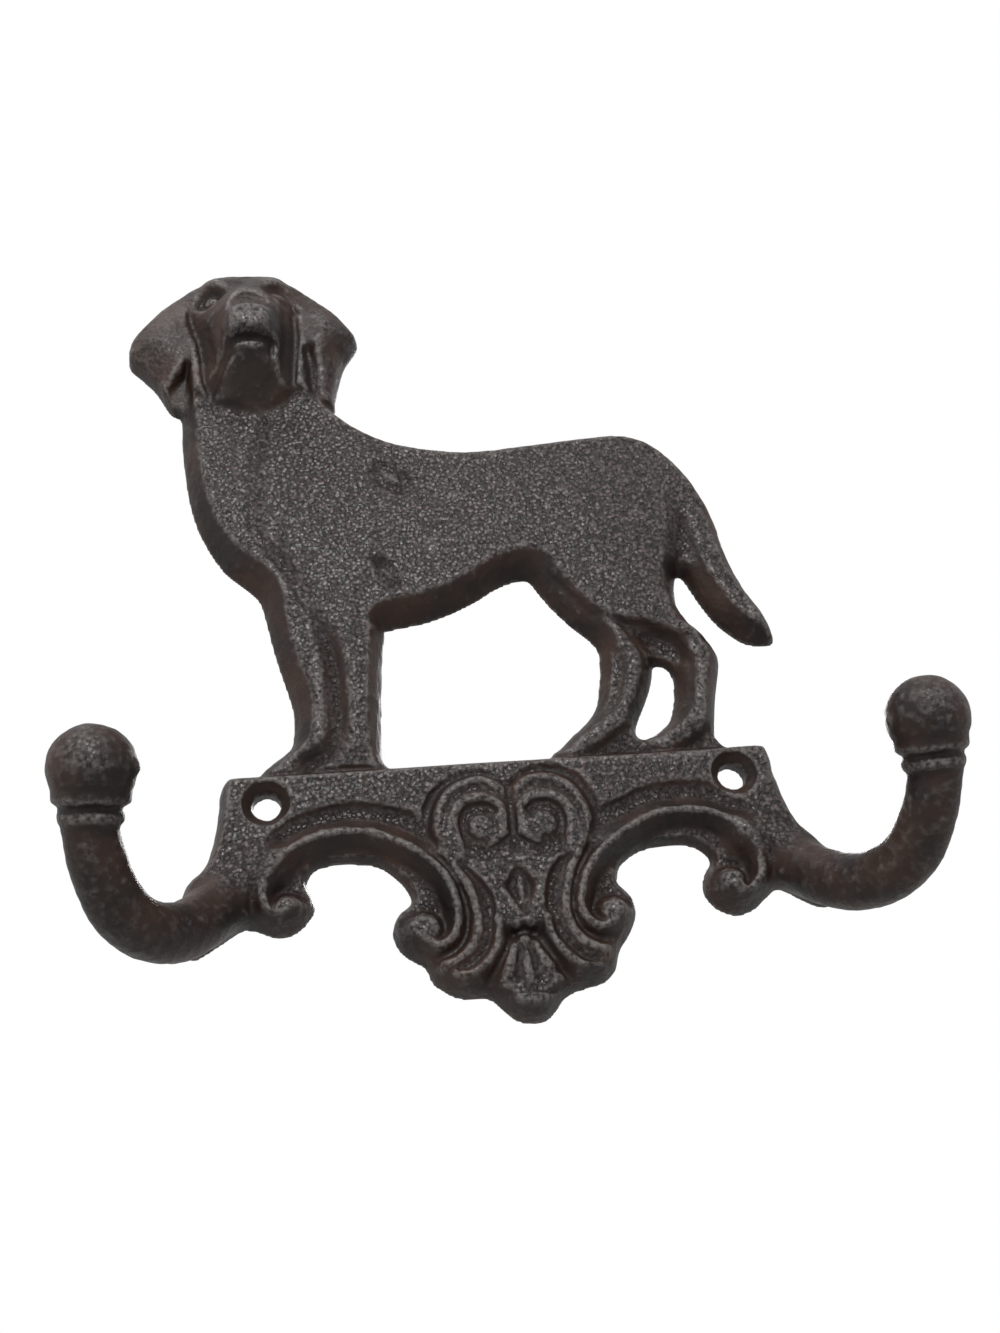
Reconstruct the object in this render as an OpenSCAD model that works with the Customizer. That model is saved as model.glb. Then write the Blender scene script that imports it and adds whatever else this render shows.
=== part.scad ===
/* [Plaque] */
// Width of the plaque along its straight top edge
plaque_w = 105; // [100:1:112]
// Thickness of the plaque's flat field
plaque_t = 5.2; // [4:0.1:7]
// Height of the top edge above the screw holes
plaque_rise = 7; // [6:0.1:8]
// Depth of the scrolled lower edge below the screw holes
plaque_drop = 43.6; // [40:0.2:48]
// How far the front face stands back from the outline all round
plaque_draft = 2; // [1:0.1:2.4]
// Radius of the two upper corners
corner_r = 3; // [2.6:0.1:4]

/* [Screw holes] */
// Distance from each end of the top edge to the middle of its screw hole
screw_margin = 8.5; // [7.5:0.5:10.5]
// Diameter of a screw hole
screw_d = 5.3; // [4:0.1:6]
// Diameter of the countersink at the front face
countersink_d = 9.2; // [7:0.1:10]
// Depth of the countersink
countersink_depth = 2; // [1:0.1:3]

/* [Scrollwork] */
// Width of a raised scroll line
ridge_w = 2.8; // [2:0.1:3.4]
// Height of a scroll line above the field
ridge_h = 1.9; // [1:0.1:3]
// Radius of the outer pair of curls
outer_curl_r = 5.2; // [4.6:0.1:5.8]
// Radius of the inner pair of curls
inner_curl_r = 5; // [4.4:0.1:5.4]
// Radius of the two lobes beside the tip
lobe_r = 5.9; // [5.2:0.1:6.4]
// Radius of the rounded tip
tip_r = 6.3; // [5.6:0.1:7]

/* [Dog] */
// Length of the dog from its chest to the end of its tail
dog_l = 117; // [105:1:125]
// Height of the dog from its feet to the top of its head
dog_h = 117; // [105:1:128]
// How far the feet sink into the plaque's top edge
feet_sink = 0.8; // [0.4:0.1:1.5]
// Thickness of the body, whose back is flat
body_t = 5.8; // [4.5:0.1:8]
// Width of the bevel round the body
body_bevel = 3.6; // [2.5:0.1:4]
// Thickness of the legs
leg_t = 5; // [4:0.1:7]
// Thickness of the tail
tail_t = 4.4; // [3.5:0.1:6]
// Width of the head across both ears
head_w = 48; // [42:0.5:54]
// How far the nose stands out from the wall
nose_reach = 18.4; // [14:0.2:24]
// Thickness of the ears
ear_t = 7; // [5:0.1:9]

/* [Hook arms] */
// Distance from the middle of the plaque to each ball
hook_x = 70.2; // [66:0.2:76]
// How far each ball's centre stands out from the wall
hook_reach = 36.4; // [30:0.2:44]
// Depth of the lowest bend below the screw holes
hook_drop = 26.4; // [24:0.2:32]
// Diameter of the arm
arm_d = 10; // [8:0.2:11]
// Diameter of the ball at the end
ball_d = 14.6; // [13:0.1:17]
// Diameter of the two rings under the ball
ring_d = 11.6; // [10.6:0.1:12.6]

/* [Hidden] */
iron = [0.16, 0.13, 0.12];
// Points on each arc of the plaque's outline
arc_steps = 7;
// Points added between two chosen points of a curve
curve_steps = 2;
// Points on each ring of the head
head_sides = 20;
// Facets round a hook arm
arm_sides = 12;
// Facets round a ball
ball_sides = 18;
// Facets round a screw hole
hole_sides = 48;
// How far each cut runs past the face that it opens
overrun = 1;
half_w = plaque_w / 2;
screw_spacing = plaque_w - 2 * screw_margin;
overall_w = 2 * hook_x + ball_d;

// Point on a smooth curve through b and c, with a and d as their neighbours
function between(a, b, c, d, t) =
    0.5 * (2 * b + (c - a) * t + (2 * a - 5 * b + 4 * c - d) * t * t
    + (3 * b - a - 3 * c + d) * t * t * t);

// Smooth open curve through the points
function curve(p) = [
    for (i = [0 : len(p) - 2], k = [0 : curve_steps - 1])
        between(p[max(i - 1, 0)], p[i], p[i + 1], p[min(i + 2, len(p) - 1)], k / curve_steps),
    p[len(p) - 1]];

// Smooth closed curve through the points
function closed_curve(p) = let (n = len(p)) [
    for (i = [0 : n - 1], k = [0 : curve_steps - 1])
        between(p[(i + n - 1) % n], p[i], p[(i + 1) % n], p[(i + 2) % n], k / curve_steps)];

// Arc of a circle from angle a to angle b
function arc(c, r, a, b) = [
    for (i = [0 : arc_steps])
        let (t = a + (b - a) * i / arc_steps) c + r * [cos(t), sin(t)]];

// Shares of a width and a height turned into places
function places(shares, size, from = [0, 0]) = [
    for (s = shares) from + [s[0] * size[0], s[1] * size[1]]];

// Value at a fraction u of the way along a list
function along(list, u) = let (
    t = u * (len(list) - 1),
    k = min(floor(t), len(list) - 2))
    list[k] + (list[k + 1] - list[k]) * (t - k);

function flip(p) = [for (i = [len(p) - 1 : -1 : 0]) [-p[i][0], p[i][1]]];
function unit(v) = v / norm(v);

// Direction square to the curve at each of its points, to the left of the way along it
function across(p, i, closed) = let (
    n = len(p),
    a = closed ? p[(i + n - 1) % n] : p[max(i - 1, 0)],
    b = closed ? p[(i + 1) % n] : p[min(i + 1, n - 1)],
    d = unit(b - a)) [-d[1], d[0]];

// Closed skin over equal rings of points, with flat ends
module skin(rings) {
    n = len(rings[0]);
    last = len(rings) - 1;
    walls = [
        for (j = [0 : last - 1], i = [0 : n - 1]) let (
            a = j * n + i,
            b = j * n + (i + 1) % n)
            each [[a, b, b + n], [a, b + n, a + n]]];
    ends = [
        [for (i = [n - 1 : -1 : 0]) i],
        [for (i = [0 : n - 1]) last * n + i]];
    polyhedron([for (r = rings) each r], concat(walls, ends), convexity = 8);
}

// Slab with a flat back and a bevelled front, from an outline that runs anticlockwise
// steps hold how far in and how far forward each ring lies, from the front face to the back
module relief(outline, steps) {
    n = len(outline);
    skin([for (s = steps) [
        for (i = [0 : n - 1]) let (q = outline[i] + s[0] * across(outline, i, true))
            [q[0], -s[1], q[1]]]]);
}

// Section of a raised line in shares of its half width and its height
section_share = [[-1, 0], [-0.88, 0.56], [-0.45, 0.93], [0.45, 0.93], [0.88, 0.56], [1, 0]];

// Raised line with a flat back: half widths and heights follow the path
module raised_line(path, half, height, base = 0) {
    skin([for (i = [0 : len(path) - 1]) let (
        side = across(path, i, false),
        w = along(half, i / (len(path) - 1)),
        h = along(height, i / (len(path) - 1))) [
        for (s = section_share) let (q = path[i] + s[0] * w * side)
            [q[0], -base - s[1] * h, q[1]]]]);
}

module both_sides() {
    children();
    mirror([1, 0, 0]) children();
}

// Places of the plaque's curls, lobes and arches, in shares of half its width and of its drop
outer_curl_share = [0.775, -0.472];
inner_curl_share = [0.33, -0.585];
lobe_share = [0.219, -0.739];
arch_share = [0.538, -0.43];
// Half width and rise of an arch, in the same shares
arch_size_share = [0.174, 0.16];
// Power that squares the shoulders of an arch
arch_bulge_share = 0.85;
// Side of the plaque, which sweeps out into the hook arm
side_share = [[0.925, -0.512], [1.04, -0.583], [1.12, -0.6], [1.15, -0.45], [1.115, -0.315],
    [1.066, -0.24], [1.03, -0.125], [1.01, 0]];
half_size = [half_w, plaque_drop];

function place(share) = places([share], half_size)[0];
function bulged(v) = sign(v) * pow(abs(v), arch_bulge_share);

// Half outline of the plaque from the tip round to the upper corner
half_outline = concat(
    arc([0, tip_r - plaque_drop], tip_r, -78, -15),
    arc(place(lobe_share), lobe_r, 235, 370),
    arc(place(inner_curl_share), inner_curl_r, -62, 62),
    [for (i = [0 : 2 * arc_steps]) let (a = 180 - 165 * i / (2 * arc_steps))
        place(arch_share + [arch_size_share[0] * bulged(cos(a)), arch_size_share[1] * bulged(sin(a))])],
    arc(place(outer_curl_share), outer_curl_r, 130, 318),
    places(side_share, half_size),
    arc([half_w - corner_r, plaque_rise - corner_r], corner_r, 0, 90));

module plaque() {
    steps_share = [[1, 1], [0.45, 0.81], [0.15, 0.46], [0, 0]];
    relief(concat([[0, -plaque_drop]], half_outline, flip(half_outline)),
        places(steps_share, [plaque_draft, plaque_t]));
}

// Scroll lines of one half, in shares of half the plaque's width and of its drop
arch_line_share = [[0.77, -0.425], [0.735, -0.455], [0.745, -0.505], [0.79, -0.53], [0.85, -0.49],
    [0.885, -0.41], [0.875, -0.3], [0.82, -0.215], [0.71, -0.165], [0.58, -0.16], [0.45, -0.2],
    [0.34, -0.29], [0.26, -0.41], [0.222, -0.53], [0.235, -0.63], [0.3, -0.68], [0.37, -0.65],
    [0.385, -0.58], [0.34, -0.545]];
outer_line_share = [[0.94, -0.36], [0.92, -0.22], [0.85, -0.12], [0.72, -0.075], [0.58, -0.075],
    [0.44, -0.115], [0.33, -0.18], [0.24, -0.28], [0.18, -0.4], [0.155, -0.55], [0.165, -0.67],
    [0.21, -0.75], [0.27, -0.79]];
volute_line_share = [[0.1, -0.27], [0.18, -0.25], [0.25, -0.19], [0.28, -0.1], [0.265, 0],
    [0.2, 0.065], [0.12, 0.085], [0.05, 0.055], [0.012, -0.02], [0.025, -0.13], [0.06, -0.21],
    [0.12, -0.24], [0.18, -0.21], [0.2, -0.14], [0.17, -0.085], [0.11, -0.08], [0.075, -0.12],
    [0.09, -0.165], [0.12, -0.17]];
throat_line_share = [[0.16, -0.3], [0.1, -0.38], [0.07, -0.47], [0.075, -0.56], [0.1, -0.66],
    [0.13, -0.76], [0.14, -0.84]];
petal_share = [[0.005, -0.64], [0.02, -0.72], [0.06, -0.8], [0.1, -0.85]];
diamond_share = [[0, -0.4], [0, -0.46], [0, -0.51], [0, -0.57]];
stem_share = [[0, -0.63], [0, -0.75], [0, -0.86], [0, -0.93]];

// Raised line whose width and height follow shares of the ridge's own, sunk into the field
module scroll(line_share, width_share, height_share) {
    raised_line(curve(places(line_share, half_size)), width_share * ridge_w / 2,
        height_share * 2 * ridge_h, plaque_t - ridge_h);
}

module scrollwork() {
    both_sides() {
        scroll(arch_line_share, [1, 1, 1, 1.1, 1, 1, 0.7], [1, 1, 1]);
        scroll(outer_line_share, [0.6, 0.9, 1, 0.9, 0.6], [0.8, 1, 0.8]);
        scroll(volute_line_share, [1, 1.1, 1.1, 1, 0.9, 0.7], [1, 1, 1]);
        scroll(throat_line_share, [0.7, 1, 0.8], [0.8, 0.9, 0.7]);
        scroll(petal_share, [0.5, 1.2, 0.6], [0.8, 1, 0.7]);
    }
    scroll(diamond_share, [0.2, 1.1, 0.2], [0.6, 1, 0.6]);
    scroll(stem_share, [0.4, 1, 1.7, 1], [0.8, 1, 1, 0.9]);
}

// Dog's body and neck, in shares of its length and height, from the neck round under the belly
body_share = [[-0.5, 0.73], [-0.5, 0.63], [-0.489, 0.537], [-0.467, 0.464], [-0.433, 0.398],
    [-0.392, 0.353], [-0.34, 0.3], [-0.25, 0.262], [-0.16, 0.265], [-0.094, 0.278], [-0.04, 0.298],
    [0.003, 0.32], [0.045, 0.342], [0.083, 0.35], [0.108, 0.325], [0.14, 0.28], [0.185, 0.235],
    [0.23, 0.21], [0.29, 0.215], [0.33, 0.25], [0.342, 0.32], [0.36, 0.37], [0.4, 0.42],
    [0.436, 0.45], [0.424, 0.504], [0.398, 0.556], [0.356, 0.606], [0.313, 0.633], [0.268, 0.64],
    [0.21, 0.637], [0.125, 0.629], [0.028, 0.619], [-0.045, 0.622], [-0.11, 0.637], [-0.17, 0.669],
    [-0.222, 0.712], [-0.26, 0.77], [-0.33, 0.8], [-0.43, 0.79]];
// Centre lines of the legs and the tail in the same shares, from the body outwards
near_front_leg_share = [[-0.23, 0.43], [-0.228, 0.33], [-0.224, 0.2], [-0.222, 0.08], [-0.222, -0.01]];
far_front_leg_share = [[-0.34, 0.37], [-0.318, 0.27], [-0.298, 0.16], [-0.288, 0.085],
    [-0.298, 0.035], [-0.31, -0.01]];
far_hind_leg_share = [[0.215, 0.32], [0.232, 0.23], [0.242, 0.17], [0.232, 0.125], [0.212, 0.08],
    [0.19, 0.035], [0.17, -0.01]];
near_hind_leg_share = [[0.285, 0.35], [0.32, 0.265], [0.349, 0.18], [0.346, 0.11], [0.337, 0.065],
    [0.32, 0.03], [0.305, -0.01]];
tail_share = [[0.375, 0.53], [0.4, 0.44], [0.407, 0.36], [0.42, 0.3], [0.447, 0.25],
    [0.475, 0.215], [0.497, 0.2]];
feet_z = plaque_rise - feet_sink;

function dog(shares) = places(shares, [dog_l, dog_h], [0, feet_z]);

module body() {
    steps_share = [[1, 1], [0.62, 0.92], [0.25, 0.66], [0, 0]];
    relief(closed_curve(dog(body_share)), places(steps_share, [body_bevel, body_t]));
}

// Leg or tail whose half width follows shares of the dog's length, and its thickness shares of t
module limb(line_share, width_share, t, t_share) {
    raised_line(curve(dog(line_share)), width_share * dog_l, t_share * t);
}

module legs() {
    limb(near_front_leg_share, [0.055, 0.05, 0.044, 0.041, 0.044], leg_t, [1.1, 1.1, 1, 1, 1.05]);
    limb(far_front_leg_share, [0.05, 0.046, 0.038, 0.036, 0.05, 0.08], leg_t,
        [1, 0.9, 0.85, 0.85, 0.9, 0.95]);
    limb(far_hind_leg_share, [0.04, 0.055, 0.045, 0.043, 0.045, 0.062, 0.085], leg_t,
        [1, 0.95, 0.9, 0.85, 0.85, 0.9, 0.9]);
    limb(near_hind_leg_share, [0.04, 0.05, 0.043, 0.039, 0.04, 0.055, 0.075], leg_t,
        [1, 1.05, 1, 0.95, 0.95, 1, 1]);
}

module tail() {
    limb(tail_share, [0.03, 0.036, 0.041, 0.042, 0.038, 0.03, 0.008], tail_t,
        [1.3, 1.2, 1.05, 1, 1, 0.95, 0.7]);
}

module dog_relief() {
    body();
    legs();
    tail();
}

// Middle of the head in shares of the dog's length and height
head_place_share = [-0.387, 0.826];
head_at = dog([head_place_share])[0];
head_r = head_w / 4;
// Half outline of the head with its ears in shares of the head's width, from the throat upwards
head_share = [[0.1, -0.21], [0.2, -0.19], [0.28, -0.205], [0.33, -0.18], [0.37, -0.12],
    [0.42, -0.04], [0.47, 0.05], [0.5, 0.12], [0.49, 0.185], [0.43, 0.275], [0.33, 0.375],
    [0.23, 0.455], [0.13, 0.505], [0.04, 0.51]];
// Ear flap in the same shares, from its root down its inner edge
ear_share = [[0.21, 0.36], [0.245, 0.2], [0.25, 0.05], [0.25, -0.06], [0.29, -0.12],
    [0.35, -0.12], [0.41, -0.03], [0.46, 0.06], [0.485, 0.13], [0.47, 0.19], [0.4, 0.28],
    [0.3, 0.365]];
// Rings of the brow and of the muzzle from the front back: height of the middle, half width,
// reach up and reach down in shares of the face's half width, then the share of the nose's reach
brow_share = [[0, 0.4, 0.9, 0.3, 0.64], [0, 0.72, 1.3, 0.55, 0.57], [0, 0.9, 1.6, 0.85, 0.44],
    [0, 0.98, 1.76, 1.05, 0.26], [0, 1, 1.8, 1.15, 0]];
muzzle_share = [[0.34, 0.24, 0.16, 0.2, 1], [0.3, 0.38, 0.3, 0.36, 0.96], [0.2, 0.5, 0.45, 0.55, 0.8],
    [0.05, 0.62, 0.7, 0.8, 0.56], [-0.1, 0.85, 0.9, 1, 0.3], [-0.1, 0.85, 0.9, 1, 0.2]];

// Loft through the rings of a table of shares, whose upper and lower halves differ
module head_loft(ring_share) {
    skin([for (r = ring_share) [
        for (i = [0 : head_sides - 1]) let (
            a = 360 * i / head_sides,
            reach = sin(a) > 0 ? r[2] : r[3])
            [r[1] * cos(a) * head_r, -r[4] * nose_reach, (r[0] + reach * sin(a)) * head_r]]]);
}

module head() {
    flat_share = [[0.4, 0.8], [0.18, 0.67], [0.05, 0.4], [0, 0]];
    flap_share = [[0.3, 1], [0.15, 0.85], [0.045, 0.5], [0, 0]];
    half = places(head_share, [head_w, head_w]);
    translate([head_at[0], 0, head_at[1]]) {
        relief(closed_curve(concat(half, flip(half))), flat_share * ear_t);
        both_sides() relief(closed_curve(places(ear_share, [head_w, head_w])), flap_share * ear_t);
        head_loft(brow_share);
        head_loft(muzzle_share);
    }
}

// Hook arm: each row holds its place in shares of the ball's distance, reach and drop,
// then its half thickness and half height in shares of the arm's radius
arm_share = [
    [0.62, 0.085, -0.62, 0.5, 1.2], [0.7, 0.09, -0.7, 0.56, 1.35], [0.78, 0.13, -0.79, 0.78, 1.2],
    [0.852, 0.255, -0.92, 0.98, 1.06], [0.91, 0.44, -1.01, 1, 1], [0.96, 0.62, -0.95, 1, 1],
    [0.992, 0.79, -0.74, 1, 1], [1.009, 0.92, -0.46, 0.96, 0.96]];
// Height of the ball in shares of the drop
ball_share = -0.205;
ball = [hook_x, -hook_reach, ball_share * hook_drop];
arm_path = curve([for (s = arm_share) [s[0] * hook_x, -s[1] * hook_reach, s[2] * hook_drop]]);
arm_half = curve([for (s = arm_share) [s[3], s[4]] * arm_d / 2]);
arm_last = len(arm_path) - 1;

// Oval ring of points round p, in the plane square to d
function oval_ring(p, d, half) = let (
    side = unit(cross(d, [0, 0, 1])),
    up = unit(cross(side, d))) [
    for (i = [0 : arm_sides - 1]) let (a = 360 * i / arm_sides)
        p + half[0] * cos(a) * side + half[1] * sin(a) * up];

module arm() {
    full = concat(arm_path, [ball]);
    skin([for (i = [0 : arm_last + 1]) let (
        d = full[min(i + 1, arm_last + 1)] - full[max(i - 1, 0)])
        oval_ring(full[i], d, arm_half[min(i, arm_last)])]);
}

// Turns the upright axis to the direction d
module along_line(d) {
    rotate([0, acos(d[2] / norm(d)), atan2(d[1], d[0])]) children();
}

// Neck, rings and ball from below: shares of the radius of each and of the ball's
neck_share = [[0, -1.45], [0.96, -1.35], [0.96, -1.24]];
rings_share = [[1, -1.16], [1, -0.94], [0.93, -0.84], [1.06, -0.76], [1.1, -0.5], [1.03, -0.4]];
globe_share = [[0.96, -0.26], [1, 0], [0.92, 0.38], [0.71, 0.71], [0.38, 0.92], [0, 1]];

// Ball with its two rings, turned about the line of the arm's end
module arm_end() {
    r = ball_d / 2;
    profile = concat(places(neck_share, [arm_d / 2, r]), places(rings_share, [ring_d / 2, r]),
        places(globe_share, [r, r]));
    translate(ball) along_line(ball - arm_path[arm_last])
        rotate_extrude($fn = ball_sides) polygon(profile);
}

module hooks() {
    both_sides() {
        arm();
        arm_end();
    }
}

// Screw hole with its countersink, from the front face back to the wall
module screw_hole() {
    slope = (countersink_d - screw_d) / 2 / countersink_depth;
    translate([0, -plaque_t - overrun, 0]) rotate([-90, 0, 0]) {
        cylinder(h = plaque_t + 2 * overrun, d = screw_d, $fn = hole_sides);
        cylinder(h = countersink_depth + overrun, d1 = countersink_d + 2 * overrun * slope,
            d2 = screw_d, $fn = hole_sides);
    }
}

module casting_body() {
    plaque();
    scrollwork();
    dog_relief();
    head();
    hooks();
}

module hook_casting() {
    color(iron) difference() {
        resize([overall_w, 0, 0]) casting_body();
        for (side = [-1, 1])
            translate([side * screw_spacing / 2, 0, 0]) screw_hole();
    }
}

hook_casting();
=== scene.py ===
# %% [markdown]
# # A cast-iron hound on a scrolled hook plate
# The real thing is one iron casting: a hound in relief that looks at the viewer, on a scrolled
# plate with two screw holes, and two arms that come forward and turn up into balls. The packed
# CAD model gives the frame: metres, +Z up, -Y out from the wall, the wall itself at Y = 0.
# The box of the CAD model is kept, because the dressed model has to stay inside it.

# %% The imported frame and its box
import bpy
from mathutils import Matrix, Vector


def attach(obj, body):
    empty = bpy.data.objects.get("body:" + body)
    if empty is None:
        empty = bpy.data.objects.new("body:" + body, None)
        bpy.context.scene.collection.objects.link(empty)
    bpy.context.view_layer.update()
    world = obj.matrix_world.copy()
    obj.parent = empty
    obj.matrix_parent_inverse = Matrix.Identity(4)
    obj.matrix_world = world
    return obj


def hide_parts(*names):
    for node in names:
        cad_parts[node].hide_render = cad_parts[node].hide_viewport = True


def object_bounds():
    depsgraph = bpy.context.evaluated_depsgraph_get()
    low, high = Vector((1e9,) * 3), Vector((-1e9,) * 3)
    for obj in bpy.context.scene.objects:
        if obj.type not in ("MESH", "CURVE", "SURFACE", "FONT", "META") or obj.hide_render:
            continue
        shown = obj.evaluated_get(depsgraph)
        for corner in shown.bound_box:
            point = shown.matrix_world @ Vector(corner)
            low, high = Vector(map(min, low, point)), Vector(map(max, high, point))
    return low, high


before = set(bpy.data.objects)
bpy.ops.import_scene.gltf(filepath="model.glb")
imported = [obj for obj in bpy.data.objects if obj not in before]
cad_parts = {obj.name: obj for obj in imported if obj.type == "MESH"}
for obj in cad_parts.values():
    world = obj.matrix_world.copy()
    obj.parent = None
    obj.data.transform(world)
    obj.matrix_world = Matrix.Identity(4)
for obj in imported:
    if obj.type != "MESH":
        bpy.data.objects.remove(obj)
cad_box = [[float(c) for c in corner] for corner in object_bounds()]

import time
import bpy
import numpy as np
from mathutils import Matrix

began = time.time()
scene = bpy.context.scene
print("CAD box in mm", [[round(c * 1000, 1) for c in corner] for corner in cad_box])

# %% [markdown]
# ## How the skin is made
# A casting has no seams: the feet run into the plate and the arms grow out of it in soft
# fillets. Separate meshes would show where they cross. So the whole casting is one skin, the
# level zero of a field that is negative inside the iron. Every form is worked out as whole
# arrays on one grid, forms are joined with a rounded minimum, which leaves the fillet of a sand
# mould, and one pass turns the field into faces. Lengths here are millimetres: x to the right,
# z up, and d the depth out from the wall.

# %% The grid
pitch = 0.5
x_line = np.arange(-79.0, 79.0 + pitch, pitch)
z_line = np.arange(-45.0, 129.0 + pitch, pitch)
d_line = np.arange(-1.5 * pitch, 45.5, pitch)
X, Z = np.meshgrid(x_line, z_line, indexing="ij")
print("grid", len(x_line), len(d_line), len(z_line), "points, pitch", pitch, "mm")


# %% Rounded minimum and maximum
def merge(a, b, k):
    """The smaller of a and b, rounded: where they differ by less than k, (k - |a - b|)^2 / 4k comes off."""
    h = np.maximum(k - np.abs(a - b), 0.0)
    return np.minimum(a, b) - h * h / (4.0 * k)


def cut(a, b, k):
    """The larger of a and b, rounded in the same way."""
    return -merge(-a, -b, k)


def ease(a, low, high):
    """0 below low, 1 above high, and the curve 3t^2 - 2t^3 between."""
    t = np.clip((a - low) / (high - low), 0.0, 1.0)
    return t * t * (3.0 - 2.0 * t)


def bell(gap, width):
    """1 where the gap is 0, falling off to both sides: e to the power of minus (gap / width) squared."""
    return np.exp(-(gap / width) ** 2)


def hill(x, z, wide, tall):
    """A bell in both directions: 1 at (x, z), and 1/e at wide beside it or tall above it."""
    return np.exp(-((X - x) / wide) ** 2 - ((Z - z) / tall) ** 2)


# %% Lines drawn through given points, as distances
def drawn(points, closed=False, steps=3):
    """A smooth line through given points: Catmull-Rom, each span a cubic of its four nearest points."""
    p = np.asarray(points, float)
    before, after = (p[-1:], p[:2]) if closed else (2 * p[:1] - p[1:2], 2 * p[-1:] - p[-2:-1])
    q = np.concatenate([before, p, after])
    spans = len(p) if closed else len(p) - 1
    t = np.arange(steps)[None, :, None] / steps
    a, b, c, e = (q[i:i + spans][:, None, :] for i in range(4))
    curve = b + 0.5 * t * (c - a + t * (2 * a - 5 * b + 4 * c - e + t * (3 * (b - c) + e - a)))
    curve = curve.reshape(-1, p.shape[1])
    return curve if closed else np.concatenate([curve, p[-1:]])


def away(points, closed=False, smooth=True):
    """The distance from every grid point to a drawn line: the least distance to its straight pieces."""
    p = drawn(points, closed) if smooth else np.asarray(points, float)
    ends = np.roll(p, -1, axis=0) if closed else p[1:]
    best = np.full(X.shape, 1e9)
    for (x0, z0), (x1, z1) in zip(p, ends):
        run, climb = x1 - x0, z1 - z0
        t = np.clip(((X - x0) * run + (Z - z0) * climb) / (run ** 2 + climb ** 2 + 1e-12), 0, 1)
        best = np.minimum(best, (X - x0 - t * run) ** 2 + (Z - z0 - t * climb) ** 2)
    return np.sqrt(best)


def nearest(lines, smooth=True):
    """The distance to the nearest of several drawn lines."""
    return np.min([away(line, smooth=smooth) for line in lines], axis=0)


def within(points, smooth=True):
    """The signed distance to a closed line: negative inside, where a ray to the right crosses the line an
    odd number of times."""
    p = drawn(points, True) if smooth else np.asarray(points, float)
    odd = np.zeros(X.shape, bool)
    for (x0, z0), (x1, z1) in zip(p, np.roll(p, -1, axis=0)):
        if z0 != z1:
            odd ^= ((z0 > Z) != (z1 > Z)) & (X < x0 + (Z - z0) * (x1 - x0) / (z1 - z0))
    return np.where(odd, -1.0, 1.0) * away(p, True, smooth=False)


def blurred(image, width):
    """The image with every point spread as a bell curve of that width, in mm, by a product of spectra."""
    fx = np.fft.fftfreq(image.shape[0], pitch)[:, None]
    fz = np.fft.rfftfreq(image.shape[1], pitch)[None, :]
    spread = np.exp(-2 * (np.pi * width) ** 2 * (fx * fx + fz * fz))
    return np.fft.irfft2(np.fft.rfft2(image) * spread, image.shape)


def mirrored(points, middle=0.6):
    """The same line on the other side of the upright x = middle."""
    return [(2 * middle - x, z) for x, z in points]


# %% Strokes of relief
def raised(height, gap, half, top, fall=1.6):
    """A rib: level top out to half from its line, then down by fall mm a mm."""
    return cut(height, top - fall * np.maximum(gap - half, 0.0), 0.4)


def sunk(height, gap, half, bottom, rise=1.6):
    """A groove: level bottom out to half from its line, then up by rise mm a mm."""
    return merge(height, bottom + rise * np.maximum(gap - half, 0.0), 0.4)


def relief(height, outline, lean, curve, wide=1.0, round_by=0.5, reach=9.0):
    """A relief on the wall, as a field up to reach mm out: d below height, inside an outline that draws in
    by wide * (lean * d + curve * d * d), and d above 0. The height term is divided by its slope's length."""
    d = d_line[d_line < reach][None, :, None].astype(np.float32)
    slope = np.sqrt(1.0 + sum(g * g for g in np.gradient(height, pitch)))
    top = (d - height[:, None, :]) / slope[:, None, :]
    out = np.maximum(d, 0.0)
    side = outline[:, None, :] + (wide * np.ones(X.shape))[:, None, :] * (lean * out + curve * out * out)
    return np.maximum(cut(top, side, round_by), -d).astype(np.float32)


# %% [markdown]
# ## The scrolled plate
# The plate is a flat field with a crest round each arch that ends in a comma, two volutes side
# by side, and a stem with a sunk diamond over a small palmette. A sculptor draws such lines and
# then decides how high each stands, and so does this cell: each form is a line or an outline,
# and its height over the wall is a function of the distance to it.

# %% The plate's outline
plate_outline = [
    (50.5, 7), (52.2, 6), (52.8, 3.4), (53, 0.4), (54, -5.4), (55.9, -10.5), (58.5, -13.7), (60.4, -19.6),
    (58.8, -26.2), (54.6, -25.4), (49.9, -22.1), (46.8, -23.8), (43.8, -26), (40.2, -26.7), (36.9, -25),
    (35.3, -22.6), (35.1, -20.6), (35.9, -18.1), (37.3, -16.4), (37, -14.8), (35.2, -13.1), (31.9, -12.1),
    (27.6, -12.3), (23.7, -13.2), (20.5, -15.5), (19.6, -17.8), (19.6, -19), (21.5, -21.5), (22.1, -24.8),
    (20.4, -28.5), (18.4, -31), (17.5, -33), (16.7, -35.1), (14.6, -37.1), (11.4, -37.9), (7.4, -39.1),
    (5.5, -41.1), (3.5, -43), (0.8, -43.5), (-2.3, -42.6), (-4.7, -40.2), (-6.8, -38.4), (-11.1, -38.1),
    (-13.3, -37.2), (-16.3, -34.8), (-17.3, -32), (-19.8, -30.3), (-22, -27.9), (-22.6, -24.7),
    (-21.3, -21.8), (-19.2, -20.1), (-18.9, -18.7), (-20.5, -15.7), (-24, -12.6), (-28.6, -11.5),
    (-33.9, -11.6), (-36.2, -12.6), (-37.3, -14.6), (-36.9, -16), (-36, -18.9), (-36.6, -20.8),
    (-39, -23.4), (-42.8, -24.5), (-48.7, -22.4), (-54, -25.5), (-58.4, -27.2), (-60.4, -21),
    (-59.1, -13.7), (-55.9, -10.5), (-54, -5.4), (-53, 0.4), (-52.8, 3.4), (-52, 5.8), (-50.3, 7), (-44, 7),
    (-20, 7), (0, 7), (20, 7), (44, 7)]
plate_edge = within(plate_outline)
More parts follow.
